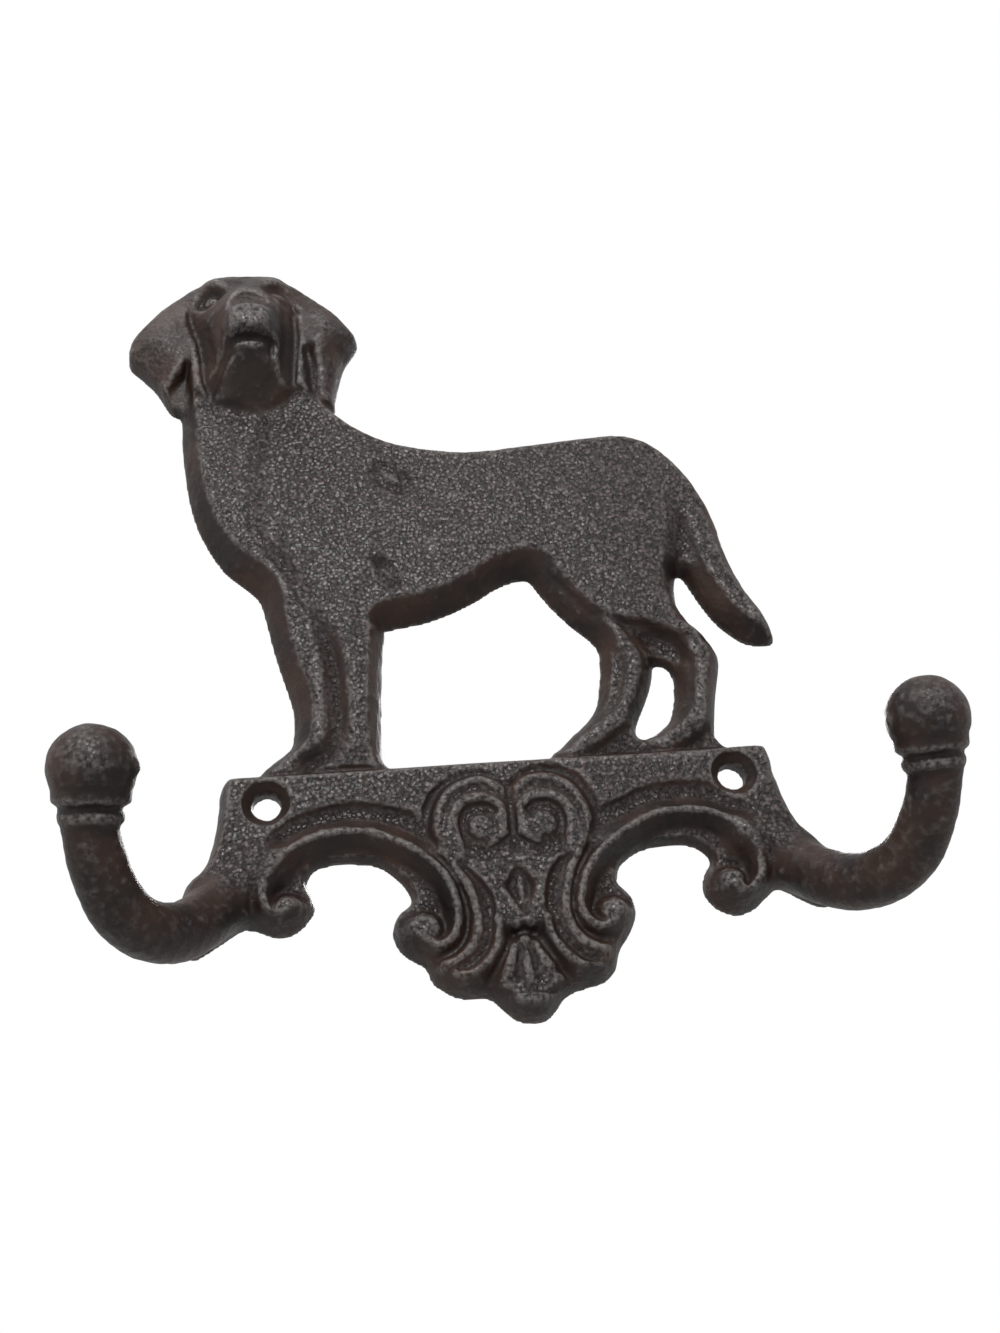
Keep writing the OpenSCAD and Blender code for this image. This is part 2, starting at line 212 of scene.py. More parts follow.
print("plate", round(float((plate_edge < 0).sum()) * pitch * pitch / 100, 1), "cm2")

# %% The crests round the arches, and the field's edge
crest_right = [
    (40, -22), (41.5, -23.9), (43.6, -23.2), (45.1, -20.6), (45.4, -17.6), (44.8, -14.6), (43.4, -12.1),
    (41.1, -9.9), (38.1, -8.3), (34.6, -7.5), (30.6, -7.3), (26.7, -7.9), (23.2, -9.4), (19.7, -11.4),
    (16.9, -13.4), (14.5, -15.8), (12.7, -18.6), (11.6, -21.5), (11.2, -24.5), (12, -26.8), (13.9, -28.2),
    (16.2, -27.9), (17.6, -26.4), (17, -25.3)]
crest_left = [
    (-41, -21.3), (-42.5, -22.3), (-44.3, -21), (-45, -18.5), (-44.7, -15.5), (-43.4, -12.8), (-41, -10.4),
    (-37.6, -8.6), (-34, -7.5), (-30, -7.1), (-26, -7.5), (-22.5, -8.8), (-19.1, -10.6), (-16.1, -12.8),
    (-13.6, -15.4), (-11.9, -18.4), (-11.2, -21.6), (-11, -24.6), (-11.8, -27.5), (-13.6, -29.3),
    (-15.9, -29.4), (-17.8, -28), (-17.3, -26.3)]
border_right = [
    (48.5, -20), (48.5, -16), (47.5, -12), (45.5, -8), (42.5, -5.5), (40, -3.2), (37, -2.2), (33, -1.8),
    (29, -1.9), (25, -2.9), (21, -4.5), (17.2, -5.5), (16, -3.3), (15, -1), (13.5, 1), (11.5, 2.5),
    (9, 3.2), (6, 3.2), (3.5, 2.2), (1.5, 0.6), (0.5, -0.6)]
border_left = [
    (-47.6, -20), (-47, -17), (-46.5, -12.5), (-44.5, -9), (-41, -5), (-38, -3.6), (-34, -2.4), (-30, -1.9),
    (-26, -2.1), (-22, -3), (-18, -4.5), (-15.8, -6), (-15, -3.8), (-14, -1.5), (-12.5, 0.2), (-10, 1.7),
    (-7.5, 2.6), (-5, 2.9), (-2.5, 1.8), (-0.8, 0.3), (0.5, -0.6)]
to_crest = nearest([crest_right, crest_left])
to_border = nearest([border_right, border_left])
in_arches = np.minimum(within(crest_right), within(crest_left))
below_field = np.minimum(within(border_right + [(0.5, -50), (48.5, -50)], smooth=False),
                         within(border_left + [(0.5, -50), (-47.6, -50)], smooth=False))
print("field", round(float(((plate_edge < 0) & (below_field > 0)).sum()) * pitch * pitch / 100, 1), "cm2")

# %% Field, cove and arch slope
share = to_crest / (to_crest + to_border + 1e-6)
cove = 4.35 + 2.6 * (1.0 - ease(share, 0.0, 1.0)) ** 1.7 - 0.5 * np.sin(np.pi * np.clip(share, 0, 1))
field_top = 5.35
height = np.where(below_field < 0, np.minimum(cove, 6.9), field_top)
height = merge(height, 4.4 + 1.5 * np.maximum(to_border - 0.35, 0.0), 0.3)
slope_share = np.clip(to_crest / 3.3, 0.0, 1.0)
arch_slope = 3.3 + 3.8 * (1.0 - np.sqrt(1.0 - (1.0 - slope_share) ** 2))
height = np.where(in_arches < 0, arch_slope, height)
print("arch crest to wall", round(float(arch_slope.max()), 2), "to", round(float(arch_slope.min()), 2), "mm")

# %% The lower scrolls on both sides of the stem
inner_right = [(12.9, -12.1), (11.7, -14.6), (10.3, -17), (9.3, -20), (8.6, -23), (8.5, -25.5),
               (9.1, -28.1), (10.5, -30.3), (12.5, -31.8), (14.5, -32.5)]
inner_left = [(-13, -12), (-11.5, -14), (-10, -16.6), (-8.8, -19), (-8, -21.6), (-7.6, -24.6),
              (-7.9, -27.5), (-9, -30), (-11, -31.9), (-13.5, -33.1)]
throat_right = [(4.8, -26), (5.2, -28.8), (6.3, -31.2), (8.2, -33.6), (10.5, -35.2), (13, -35.8)]
throat_left = [(-3.8, -25.5), (-4.3, -29.5), (-6, -32.5), (-8, -34.3), (-10, -35.2), (-12.5, -35.6)]
stem = [(10.5, -13), (8, -15), (6, -17.5), (5, -20.5), (4.7, -23.5), (4.8, -26), (3.5, -26.6), (1.5, -26.9),
        (0.6, -26.2), (-0.5, -26.9), (-2.3, -26.8), (-4, -25.5), (-4.2, -22.5), (-5, -20), (-6.5, -17.5),
        (-8.5, -15.5), (-10.5, -13.5)]
to_inner = nearest([inner_right, inner_left])
to_throat = nearest([throat_right, throat_left])
in_stem = within(stem)
lower = ease(-Z, 11.0, 14.5) * (below_field < 0) * (in_arches > 0) * (np.abs(X - 0.6) < 24)
from_stem = np.maximum(np.minimum(in_stem, to_throat), 0.0)
scrolls = 4.9 + 1.7 * (from_stem / (from_stem + to_inner + 1e-6)) ** 1.3
channel = 4.3 + 1.6 * (1.0 - ease(to_crest, 0.0, 2.0)) + 1.6 * (1.0 - ease(to_inner, 0.0, 1.7))
outer = within(inner_right + [(40, -33), (40, -12)], smooth=False)
outer = np.minimum(outer, within(inner_left + [(-40, -33), (-40, -12)], smooth=False))
height = height * (1 - lower) + lower * np.where(outer < 0, channel, scrolls)
print("scroll floor", round(float(height[(lower > 0.9) & (plate_edge < -2)].min()), 2), "mm")

# %% Stem, diamond and palmette
gap_floor = within([(0.6, -26.6), *throat_right, (12, -45), (-11, -45), *throat_left[::-1]], smooth=False)
height = np.where(gap_floor < 0, 3.6, height)
height = np.where(in_stem < 0.8, np.maximum(height, 6.35 - 2.2 * np.maximum(in_stem, 0.0)), height)
diamond = within([(0.6, -15.3), (2.6, -17.5), (3.7, -19.3), (3, -21.5), (1.8, -23.8), (0.9, -25.8),
                  (-0.2, -23.8), (-1.6, -21.3), (-2.4, -19.2), (-1, -17.2)], smooth=False)
height = merge(height, 4.9 + 1.7 * np.maximum(diamond + 0.9, 0.0), 0.3)
height = raised(height, away([(0.8, -17.5), (0.8, -23)], smooth=False), 0.15, 5.9, 1.2)
fan = within([(0.4, -29.3), (1.8, -30.2), (2.8, -32), (4, -34), (6, -35.3), (6.9, -36.6), (6, -38),
              (4, -39.5), (2.8, -40.8), (0.6, -41.8), (-1.6, -41), (-3, -39.5), (-4.6, -38), (-5.4, -36.6),
              (-4.2, -34.8), (-2.8, -32.8), (-1.8, -30.8)])
height = cut(height, 5.6 - 1.5 * np.maximum(fan + 0.9, 0.0), 0.4)
ribs = nearest([[(0.4, -30), (0.4, -37)], [(-1.5, -31), (-3.5, -35.8)], [(2.2, -31), (4.2, -34.8)]],
               smooth=False)
grooves = nearest([[(-0.5, -30.5), (-1.6, -37)], [(1.2, -30.5), (2.4, -37)]], smooth=False)
height = raised(height, ribs, 0.25, 6.3, 1.1)
height = sunk(height, grooves, 0.1, 5.0, 1.4)
boss = np.sqrt(((X - 0.5) / 2.1) ** 2 + ((Z + 40.3) / 0.9) ** 2)
height = cut(height, 6.5 - 1.2 * np.maximum(boss - 0.8, 0.0), 0.5)
print("stem", round(float(height[in_stem < -0.5].max()), 2), "mm high")

# %% The crest lines, the commas and the volutes
height = raised(height, to_crest, 0.35, 7.1, 1.7)
height = raised(height, to_inner, 0.3, 6.8, 1.5)
height = raised(height, to_throat, 0.45, 6.9, 1.7)
for x, z, r in ((39.6, -21.5, 1.5), (17, -25.8, 1.9), (-41, -21, 1.9), (-17.2, -26.6, 2.3)):
    height = raised(height, np.hypot(X - x, Z - z), r, 6.9, 1.8)
rim = [(1.7, -1.4), (3.7, 0.6), (6.2, 1.4), (8.7, 1.1), (11.2, -0.2), (13.1, -2.7), (14.2, -6), (14.2, -9),
       (13.3, -11.5), (11.6, -14)]
strap = [(11.2, -13), (11.9, -9.5), (11.2, -6), (9.3, -3.4), (6.5, -2.5), (3.9, -3.5), (2.5, -6), (2.6, -9),
         (4.2, -10.6)]
spiral = [(3.7, -5), (5.1, -4), (7, -3.8), (8.9, -4.6), (9.8, -6.6), (9.6, -9.5), (8.3, -11.4), (6, -12.4),
          (3.6, -11.9), (1.7, -10.6)]
for side in (lambda line: line, mirrored):
    (eye_x, eye_z), = side([(6.2, -8.1)])
    disc = within(side([(0.7, -1.5)] + [(x, z + 0.6) for x, z in rim[1:]] + [(8, -14), (0.7, -13)]))
    height = np.where(disc < 0, 5.75, height)
    height = raised(height, away(side(rim)), 0.5, 6.45, 1.6)
    height = raised(height, away(side(strap)), 1.25, 6.7, 1.8)
    height = raised(height, np.hypot(X - eye_x, Z - eye_z), 2.1, 6.8, 2.0)
    height = sunk(height, away(side(spiral)), 0.2, 5.3, 1.7)
height = sunk(height, away([(0.6, 0.5), (0.6, -2.5), (0.6, -12.5)], smooth=False), 0.3, 5.2, 1.4)
height = height + 0.8 * np.exp(-((np.abs(X) - 47.0) / 1.3) ** 2 - ((Z + 17) / 4.5) ** 2)
plate_height = blurred(height, 0.28)
print("plate stands", round(float(plate_height[plate_edge < -1].max()), 2), "mm at its highest")

# %% [markdown]
# ## The hound's body
# The body is a flat plateau about 6 mm over the wall whose edges fall away in wide bevels,
# widest under the chest and the belly. The legs on the far side, the hollow by the hock, the
# crease behind the tail and the one between the front legs are sunk into it. The bevel is a
# function of depth alone, made wider or narrower by the way the outline faces.

# %% The body's outline
body_outline = [
    (-59, 88), (-58.7, 80), (-57.5, 69.1), (-55.1, 60.7), (-51, 52.8), (-46.2, 48), (-44, 45), (-43, 41),
    (-41.5, 33), (-39, 23), (-38.4, 19), (-38.7, 14.3), (-39.6, 12.3), (-42.3, 10), (-45, 7.6), (-45, 4),
    (-20, 4), (-20.6, 7), (-21.7, 9), (-21.8, 13.2), (-20.6, 28.8), (-19.6, 36), (-18.7, 37.2), (-11, 38.6),
    (-4.6, 41), (0.2, 43.5), (3, 45.3), (6.9, 46.9), (10, 47.2), (11.4, 45.2), (13.8, 41.1), (17.5, 36.2),
    (20.8, 32.7), (22.4, 29.9), (22.2, 25.8), (21.5, 21.9), (20.2, 17.3), (17.6, 14), (14.5, 11.4),
    (12.1, 9.2), (10.3, 7.8), (10.3, 4), (43.5, 4), (43.6, 8.2), (43, 9.3), (43.4, 12.3), (44.7, 18.4),
    (46.6, 25.5), (46.2, 28.1), (44.6, 31.1), (41.9, 34.8), (40.3, 39.1), (40.5, 44.1), (41.4, 46.4),
    (42.6, 45.2), (44.7, 40.2), (46.9, 35.8), (49.6, 32.4), (52.9, 29.8), (56.2, 29.2), (58.5, 29.5),
    (59, 31), (58.7, 33), (57.5, 36.4), (55.2, 40.8), (53.4, 46.5), (52.3, 52), (51.6, 58), (49.7, 64.7),
    (46.7, 71), (41.6, 77.4), (36.6, 80.4), (31.8, 81.4), (24.6, 80.9), (14.6, 80), (3.3, 78.7),
    (-5.3, 79.1), (-13, 80.8), (-19.6, 84), (-25, 88.6), (-30, 95), (-40, 105), (-50, 105), (-58, 95)]
between_legs = [(33.4, 25.9), (35.4, 25.3), (36.4, 23.4), (36.3, 19.8), (35.4, 16), (34.1, 13.2),
                (31.2, 11), (28.4, 9.9), (27.6, 11), (28, 13.3), (30, 17.1), (32.1, 21.7), (33, 24.8)]
body_edge = np.maximum(within(body_outline), -within(between_legs))
outward = [blurred(g, 2.0) for g in np.gradient(blurred(body_edge, 1.0), pitch)]
bevel = np.clip(0.95 - 0.35 * outward[1] - 0.2 * outward[0], 0.55, 1.5)
print("body", round(float((body_edge < 0).sum()) * pitch * pitch / 100, 1), "cm2")
print("bevel x", bevel.min().round(2), "to", bevel.max().round(2))

# %% The body's plateau, its legs and its creases
height = 5.8 + 0.35 * hill(5, 62, 45, 16)
haunch, shoulder = hill(27, 56, 13, 17), hill(-33, 62, 10, 18)
height = height + 0.55 * haunch + 0.45 * shoulder
hind = within([(13, 49), (15.5, 46.5), (17.5, 43.5), (20, 40), (22, 37.5), (25, 35.8), (28, 35), (32, 34.3),
               (36, 32.7), (38, 31), (50, 30), (50, 2), (5, 2), (5, 40)], smooth=False)
height = np.where(hind < 0, np.maximum(3.9, 5.9 + 2.0 * hind), height)
far_leg = away([(24, 34.5), (26.3, 31), (28, 27.5), (28.2, 24), (27.3, 20), (25.5, 15.5), (22, 12),
                (18, 9.3), (14, 7.5)])
near_leg = away([(36.5, 33.5), (39.5, 30.8), (42, 27), (42.3, 23.5), (41.5, 19), (40.3, 14.5), (38, 11),
                 (34.5, 9), (31.5, 8)])
height = raised(height, far_leg, 1.0, 5.3, 0.9)
height = raised(height, near_leg, 1.3, 5.5, 0.95)
hock = within([(30.3, 32), (36, 31.8), (39.2, 30), (39.4, 27.5), (38.3, 24), (37.4, 20), (34, 20),
               (33.2, 25), (31.5, 28.5)])
height = height - 1.5 * ease(-hock, -0.9, 1.3)
thigh = away([(41, 62), (39.5, 56), (37.5, 49), (36.5, 44), (37, 38), (38, 34)])
behind_thigh = within([(41, 66), (41, 62), (39.5, 56), (37.5, 49), (36.5, 44), (37, 38), (38, 34), (60, 25),
                       (60, 66)], smooth=False)
flank = height - 0.55 * np.minimum(thigh, 3.4) * ease(-Z, -66, -56)
height = np.where(behind_thigh < 0, np.maximum(flank, 3.9), height)
tail = away([(44.5, 64), (46.5, 58), (47.4, 52), (48.4, 47), (50.2, 42), (52, 38.2), (54.5, 33.5)])
height = cut(height, 5.6 - 0.9 * np.maximum(tail - 1.7, 0.0), 0.6)
tail_root = away([(44.6, 64), (44.2, 60), (43.5, 56), (42.2, 50), (41.4, 46)])
height = sunk(height, tail_root, 0.1, 2.9 + 3.4 * ease(Z, 47, 60), 0.95)
print("legs and tail done, least height", round(float(height[body_edge < -2].min()), 2))

# %% Chest, throat and front legs
throat_line = away([(-41.5, 86), (-43.5, 78), (-44, 70), (-44.5, 62), (-43, 57), (-40, 53), (-37, 47),
                    (-35.5, 44)])
height = height - 0.7 * bell(throat_line, 1.3) - 0.5 * ease(-X, 40, 52) * ease(Z, 50, 60)
height = height - 0.35 * bell(away([(-40, 60), (-39, 52), (-37.5, 47)]), 1.0)
leg_gap = away([(-35.5, 44), (-33, 38), (-31.3, 33), (-30.3, 28), (-30, 20), (-30.3, 14), (-32, 10),
                (-36, 7.5)])
height = sunk(height, leg_gap, 0.3, 4.1 + 1.9 * ease(Z, 30, 46), 0.72)
height = height - 0.45 * ease(-X, 33, 36) * ease(-Z, -46, -36)
height = height - 0.9 * ease(-Z, -13, -7)
height = height + 0.3 * bell(away([(-26.5, 44), (-27.5, 30), (-27.5, 16)]), 1.8)
for x, z, wide, tall, turn in ((-16, 70.5, 3.6, 4.2, 0.5), (-18.5, 47.5, 1.7, 3.8, 0.4)):
    ring = np.sqrt(((X - x + turn * (Z - z)) / wide) ** 2 + ((Z - z) / tall) ** 2)
    height = height - 0.85 * bell(ring - 0.7, 0.33) + 0.2 * bell(ring, 0.35)
body_height = blurred(height, 0.4)
print("front legs done, body stands", round(float(body_height[body_edge < -4].max()), 2), "mm at its highest")

# %% [markdown]
# ## The head
# The head turns to the viewer and stands much further out than the body, up to 18 mm at the
# nose. It is a height map in its own middle line's terms: a table of depths from throat to
# crown for the middle, one for the muzzle's half width and one for the cheeks and brow beside
# it, then eyes, nose, mouth and creases as strokes, and the two ears as low plateaus.

# %% The head's outline and its three tables
head_outline = [
    (-59.2, 91.5), (-61.3, 92.8), (-64.2, 98.5), (-67, 102), (-69.6, 105), (-70, 107.5), (-69, 110.5),
    (-65.5, 115), (-61.5, 119.5), (-56.5, 123.5), (-50, 126.8), (-44.8, 127), (-39.5, 126.8),
    (-35.5, 125.3), (-31.5, 122.7), (-27.5, 119), (-24, 115.5), (-21.5, 111.5), (-20.5, 109.5),
    (-22, 106.5), (-23.8, 103.5), (-25.3, 98.5), (-26.3, 94), (-27, 91), (-34, 87), (-44, 85), (-54, 87)]
head_edge = within(head_outline)
across = X - np.interp(Z, [108, 116], [-43.5, -44.6])
wide = np.abs(across)


def along_head(pairs):
    """A value that follows the head's height: straight lines between given pairs of height and value."""
    heights, values = zip(*pairs)
    return np.interp(Z, heights, values)


middle = along_head([(84, 5), (87, 5.4), (90, 7.2), (94, 10.4), (97, 12.8), (99.2, 15.0), (100.2, 15.4),
                     (100.6, 14.0), (101.2, 14.0), (101.7, 16.6), (102.4, 17), (105, 17.2), (107.5, 17.0),
                     (109, 15.6), (110.5, 14.6), (113.5, 13.6), (115, 12.9), (117, 11.4), (119.5, 10.7),
                     (122, 9.6), (125, 7.2), (127, 5)])
half = along_head([(84, 9.8), (90, 9.2), (94, 7.4), (97, 5.0), (99, 3.0), (100.4, 3.2), (101, 5.2),
                   (102, 5.3), (105, 5.2), (108, 5), (111, 4.8), (114, 4.6), (118, 4.8), (121, 7),
                   (125, 9)])
cheek = along_head([(84, 4.5), (88, 5.2), (92, 6.2), (96, 7.6), (100, 9), (106, 9.7), (112, 9.6),
                    (116, 9.3), (119, 9.7), (122, 8.8), (125, 6.8), (127, 5)])
print("head", round(float((head_edge < 0).sum()) * pitch * pitch / 100, 1), "cm2, middle", middle.max(), "mm")

# %% Muzzle, cheeks and brow
slant = np.clip(1.0 - (wide - 4.0) / 6.0, 0.0, 1.0) ** 1.5 * ease(Z, 93, 98) * ease(-Z, -117, -110)
beside = cheek - 1.6 * (wide / 11.0) ** 2 - 0.9 * ease(wide, 6, 10) + 3.2 * slant
muzzle = np.maximum(1.0 - (wide / (half + 1.0)) ** (1.8 + 1.4 * ease(Z, 98, 101)), 0.0) ** 0.9
height = beside + np.maximum(middle - beside, 0.0) * muzzle
height = height + 0.9 * np.exp(-((wide - 6.6) / 3.2) ** 2 - ((Z - 121.3) / 1.6) ** 2)
height = height - 0.8 * bell(across, 1.6) * ease(Z, 112, 116) * ease(-Z, -125, -121)
muzzle_x = -43.6
roof_line = ((2.4, 114.5), (4.3, 111), (5.2, 105), (5.6, 101.5))
lip_line = ((4.4, 100.7), (5.8, 98.8), (7.4, 95.5))
for side in (-1, 1):
    roof = away([(muzzle_x + side * out, z) for out, z in roof_line])
    lip = away([(muzzle_x + side * out, z) for out, z in lip_line])
    height = height + 0.6 * bell(roof, 0.7)
    height = height - 0.8 * bell(lip, 0.7)
print("muzzle", round(float(height[wide < 1].max()), 1), "mm out")

# %% Nose and the muzzle's rim
nose_pad = np.exp(-(wide / 4.0) ** 8 - ((Z - 105.0) / 3.7) ** 8)
beside_nose = bell(wide - 4.7, 0.5) * ease(Z, 100, 102) * ease(-Z, -109.5, -107.5)
above_nose = np.exp(-((Z - 109.5 + wide * wide / 12) / 0.6) ** 2 - (wide / 4.5) ** 6)
height = height + 1.3 * nose_pad
height = height - 0.7 * beside_nose - 0.6 * above_nose
for side in (-1, 1):
    height = height - bell(np.hypot(X + 43.5 - side * 1.95, Z - 106.2), 0.85)
muzzle_rim = away([(-48.4, 101.5), (-48.5, 106), (-48.1, 110), (-46.6, 113.4), (-44.2, 115), (-41.6, 114.2),
                   (-39.4, 111.4), (-38.5, 107), (-37.9, 102), (-37.6, 98)])
face = raised(height, muzzle_rim, 0.2, 12.9 + 1.3 * ease(Z, 104, 112), 0.9)
print("nose", round(float(face.max()), 1), "mm out")

# %% Ears, creases and the throat under the jaw
crease_left = [(-56.4, 117), (-56.2, 113), (-55.4, 109.3), (-54.4, 105.3), (-53.8, 100.2), (-53.6, 95.2),
               (-53.8, 91)]
crease_right = [(-34.4, 119.5), (-33.9, 113.3), (-33.8, 107.3), (-34.2, 101.3), (-34.8, 95.2), (-35.0, 91)]
ears = np.minimum(within([(-57.6, 122), *crease_left, (-75, 91), (-75, 122)], smooth=False),
                  within([(-33.4, 124), *crease_right, (-15, 91), (-15, 124)], smooth=False))
to_crease = nearest([crease_left, crease_right])
ear_top = 5.2 + 2.2 * ease(-head_edge, 0, 7) + 0.9 * hill(-62, 111, 5, 8) + 0.9 * hill(-28.5, 108, 3.5, 9)
on_ear = ease(-ears, -0.8, 0.8)
height = face * (1 - on_ear) + ear_top * on_ear
crease_wall = 6.3 + 1.1 * to_crease + 3.0 * ease(Z, 114, 121) + 14.0 * ease(to_crease, 2.5, 5.5)
height = np.minimum(height, crease_wall)
fronts = nearest([[(-56.9, 110), (-55.8, 105.3), (-55.2, 100.2), (-54.9, 94)],
                  [(-32.9, 113), (-32.7, 107.3), (-33.2, 101.3), (-33.8, 93)]])
height = raised(height, fronts, 0.15, 7.8, 1.1)
under_flap = within([(-61.3, 96.5), (-59.5, 99.4), (-57.2, 102.4), (-56.2, 101.8), (-55.6, 95),
                     (-55.8, 91.5), (-58.5, 86), (-63, 89)], smooth=False)
height = np.where(under_flap < 0, np.maximum(3.8, height + 3.0 * under_flap), height)
height = height - 1.9 * bell(away([(-31.4, 104), (-31.0, 99), (-31.0, 93)]), 1.25)
jaw = away([(-55, 93.2), (-51.7, 90.7), (-46.5, 88.8), (-42.1, 87.6), (-37.5, 89.7), (-34, 93)])
height = sunk(height, jaw, 0.2, 5.3, 1.3)
for side, deep in ((-1, 1.0), (1, 0.6)):
    eye = np.hypot((X + 44.6 - side * 7.2) / 1.1, Z - 117.0)
    eyeball, socket, lid = np.exp(-(eye / 1.3) ** 4), bell(eye, 2.3), bell(eye - 3.4, 0.8)
    height = height + deep * (1.9 * eyeball - 2.3 * socket + 0.5 * lid)
head_height = blurred(height, 0.35)
head_outward = [blurred(g, 2.0) for g in np.gradient(blurred(head_edge, 1.0), pitch)]
head_bevel = np.clip(0.36 - 0.08 * head_outward[1] + 0.08 * head_outward[0], 0.25, 0.5)
print("ears done, crown", round(float(head_height[(wide < 1) & (np.abs(Z - 120) < 1)].mean()), 1), "mm out")

# %% [markdown]
# ## The arms
# Each arm leaves the plate's lower corner, sweeps outwards and forwards, and turns up to two
# rings and a ball. It is the distance to a line in space less a radius that follows the line.
# The right arm is worked out and mirrored, since both come from one half of the same pattern.

# %% One arm, two rings and a ball
arm_line = [(44, 3, -12, 4.2), (49.7, 2.4, -14.5, 4.4), (52.9, 4.1, -18.7, 4.9), (56.4, 7.8, -23, 5.1),
            (60.1, 12.4, -25.9, 5.1), (63.9, 17.4, -26.6, 5.0), (67.1, 22.4, -25, 4.9),
            (69.4, 27, -21, 4.75), (70.7, 31, -15.8, 4.6), (71.1, 34, -10.6, 4.45),
            (70.6, 35.6, -7.4, 4.4)]
ball_at, ball_r = np.array([70.2, 36.3, -5.5]), 7.25


def near_arm(x, d, z):
    """The distance to the arm's line less its radius, and merged with it the turned end: along the last
    stretch a profile of two rings is carried round the line, and a ball with a nub sits on it."""
    best = np.full(np.broadcast_shapes(x.shape, d.shape, z.shape), 1e3, np.float32)
    line = drawn(arm_line)
    for a, b in zip(line[:-1], line[1:]):
        step = b[:3] - a[:3]
        px, pd, pz = x - a[0], d - a[1], z - a[2]
        t = np.clip((px * step[0] + pd * step[1] + pz * step[2]) / (step @ step), 0, 1)
        far = np.sqrt((px - t * step[0]) ** 2 + (pd - t * step[1]) ** 2 + (pz - t * step[2]) ** 2)
        best = np.minimum(best, far - a[3] - t * (b[3] - a[3]))
    up = np.array([-0.06, 0.42, 0.905])
    up /= np.linalg.norm(up)
    px, pd, pz = x - ball_at[0], d - ball_at[1], z - ball_at[2]
    s = px * up[0] + pd * up[1] + pz * up[2]
    r = np.sqrt(np.maximum(px * px + pd * pd + pz * pz - s * s, 0))
    turned = np.interp(s, [-10.4, -9.4, -8.9, -8.3, -7.3, -6.8, -6.3, -5.9, -5.4, -3.9, -3.4, -3.0, 0],
                       [4.3, 4.4, 5.0, 5.35, 5.35, 4.95, 4.85, 5.6, 6.3, 6.35, 5.9, 5.8, 5.8])
    best = merge(best, np.maximum(0.8 * (r - turned), np.maximum(-10.0 - s, s)), 0.5)
    ball = np.sqrt(px * px + pd * pd + pz * pz) - ball_r
    nub = np.sqrt((px + 6.9) ** 2 + (pd - 0.8) ** 2 + (pz + 0.6) ** 2) - 0.8
    return merge(merge(best, ball, 0.5), nub, 1.6)


# %% [markdown]
# ## Joining the forms and finding the skin
# The field of each form goes into one array, and a rounded minimum joins them. The skin is read
# off with surface nets: each cell that the level crosses gets one vertex, at the mean of the
# crossings on its edges, and each crossed edge of the grid gets one face between its four cells.

# %% All forms in one field
open_air, body_reach, head_reach, arms_from, arms_below = 3.0, 9.0, 21.0, 38, 8
solid = np.full((len(x_line), len(d_line), len(z_line)), open_air, np.float32)
low = slice(0, int((d_line < body_reach).sum()))
high = slice(0, int((d_line < head_reach).sum()))
plate_field = relief(plate_height, plate_edge, 0.2, 0.03, 1.0, 0.6)
body_field = relief(body_height, body_edge, 0.28, 0.06, bevel, 0.45)
solid[:, low, :] = merge(plate_field, body_field, 0.7)
bevelled_head = relief(head_height, head_edge, 0.22, 0.045, head_bevel, 1.0, head_reach)
no_side = np.full(X.shape, -50.0)
rim_depth, head_d = 7.0, d_line[high][None, :, None]
steep_side = head_edge[:, None, :] + 2.0 + 0.3 * (np.maximum(head_d - rim_depth, 0.0) * 0.62)
head_side = np.where(head_d > rim_depth, steep_side, bevelled_head)
head_field = np.maximum(relief(head_height, no_side, 0, 0, reach=head_reach), head_side).astype(np.float32)
solid[:, high, :] = merge(solid[:, high, :], head_field, 1.0)
for side in (-1, 1):
    rows = np.flatnonzero(side * x_line > arms_from)
    cols = np.flatnonzero(z_line < arms_below)
    x, d, z = (side * x_line[rows])[:, None, None], d_line[None, :, None], z_line[cols][None, None, :]
    arm = cut(near_arm(x, d, z), -d, 0.3)
    block = np.ix_(rows, np.arange(len(d_line)), cols)
    solid[block] = merge(solid[block], arm.astype(np.float32), 2.6)
solid = np.maximum(solid, -d_line[None, :, None].astype(np.float32))
print("field done", round(time.time() - began, 1), "s")

# %% The two screw holes with their countersinks
hole_x, hole_r, sink_r, block_r = 44, 2.65, 4.7, 8
flare = np.interp(d_line, [0, 3.2, 3.9, 4.8, 5.6, 9], [hole_r, hole_r, 3.3, 4.2, sink_r, sink_r + 0.6])
for side in (-1, 1):
    r = np.hypot(X - hole_x * side, Z)[:, None, :]
    near = np.ix_(np.abs(x_line - hole_x * side) < block_r, d_line < 45, np.abs(z_line) < block_r)
    open_space = np.broadcast_to(flare[None, :, None] - r, solid.shape)[near]
    solid[near] = cut(solid[near], open_space.astype(np.float32), 0.3)
print("holes", hole_r * 2, "mm, countersinks", sink_r * 2, "mm across")


